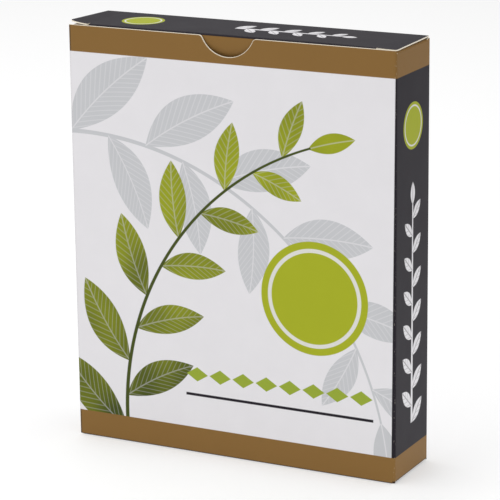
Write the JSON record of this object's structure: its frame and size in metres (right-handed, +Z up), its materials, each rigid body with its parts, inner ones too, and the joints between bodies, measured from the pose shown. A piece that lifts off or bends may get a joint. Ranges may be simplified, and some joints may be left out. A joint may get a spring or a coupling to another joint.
{
  "type": "tuck-lid folding carton of drawstring tea filters",
  "caption": "Upright folding carton with a hinged tuck lid, thumb notch and dust flaps, holding a stack of flat drawstring tea filter pouches with strings and tags.",
  "frame": {"origin": "middle of the base the carton stands on", "axes": "+Z up, -Y out of the front with the thumb notch, +X to the right seen from the front"},
  "size_m": [0.124, 0.028, 0.15],
  "materials": {
    "carton_board": "satin",
    "lid_board": "satin",
    "filter_paper": "matte"
  },
  "bodies": {
    "carton": {"carton_body": "carton_board", "filter_01": "filter_paper", "filter_02": "filter_paper", "filter_03": "filter_paper", "filter_04": "filter_paper", "filter_05": "filter_paper", "filter_06": "filter_paper", "filter_07": "filter_paper", "filter_08": "filter_paper", "filter_09": "filter_paper", "filter_10": "filter_paper", "filter_11": "filter_paper", "filter_12": "filter_paper", "filter_13": "filter_paper", "filter_14": "filter_paper", "filter_15": "filter_paper", "filter_16": "filter_paper", "filter_17": "filter_paper", "filter_18": "filter_paper", "filter_19": "filter_paper", "filter_20": "filter_paper", "filter_21": "filter_paper", "filter_22": "filter_paper", "filter_23": "filter_paper", "filter_24": "filter_paper", "filter_25": "filter_paper", "filter_26": "filter_paper", "filter_27": "filter_paper", "filter_28": "filter_paper", "filter_29": "filter_paper", "filter_30": "filter_paper"},
    "lid": {"lid": "lid_board"}
  },
  "joints": [
    {"name": "lid_hinge", "type": "hinge", "parent": "carton", "child": "lid", "pos_m": [0, 0.014, 0.14999], "axis": [-1, 0, 0], "range_deg": [0, 180]}
  ]
}
